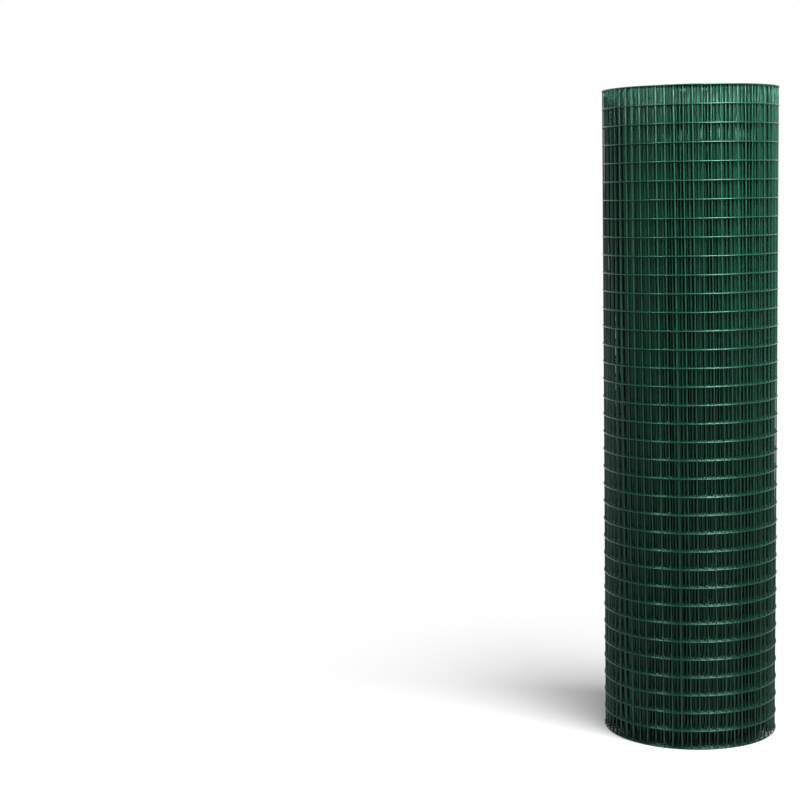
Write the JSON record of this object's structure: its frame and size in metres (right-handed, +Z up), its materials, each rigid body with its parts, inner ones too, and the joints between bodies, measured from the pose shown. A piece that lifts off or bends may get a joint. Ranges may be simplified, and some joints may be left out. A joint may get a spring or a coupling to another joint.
{
  "type": "roll of wire fencing",
  "caption": "Upright roll of green coated welded wire mesh, wound tight round an open bore; fencing stock that is unrolled and cut to length.",
  "frame": {"origin": "centre of the lower end, on the plane that the roll stands on", "axes": "+Z up along the bore, +X to the right and +Y away from the viewer in the picture"},
  "size_m": [0.2504, 0.2504, 0.9156],
  "materials": {
    "green_coated_wire": "satin plastic coating over galvanised steel wire"
  },
  "bodies": {
    "root": {"mesh_roll": "green_coated_wire"}
  },
  "joints": []
}
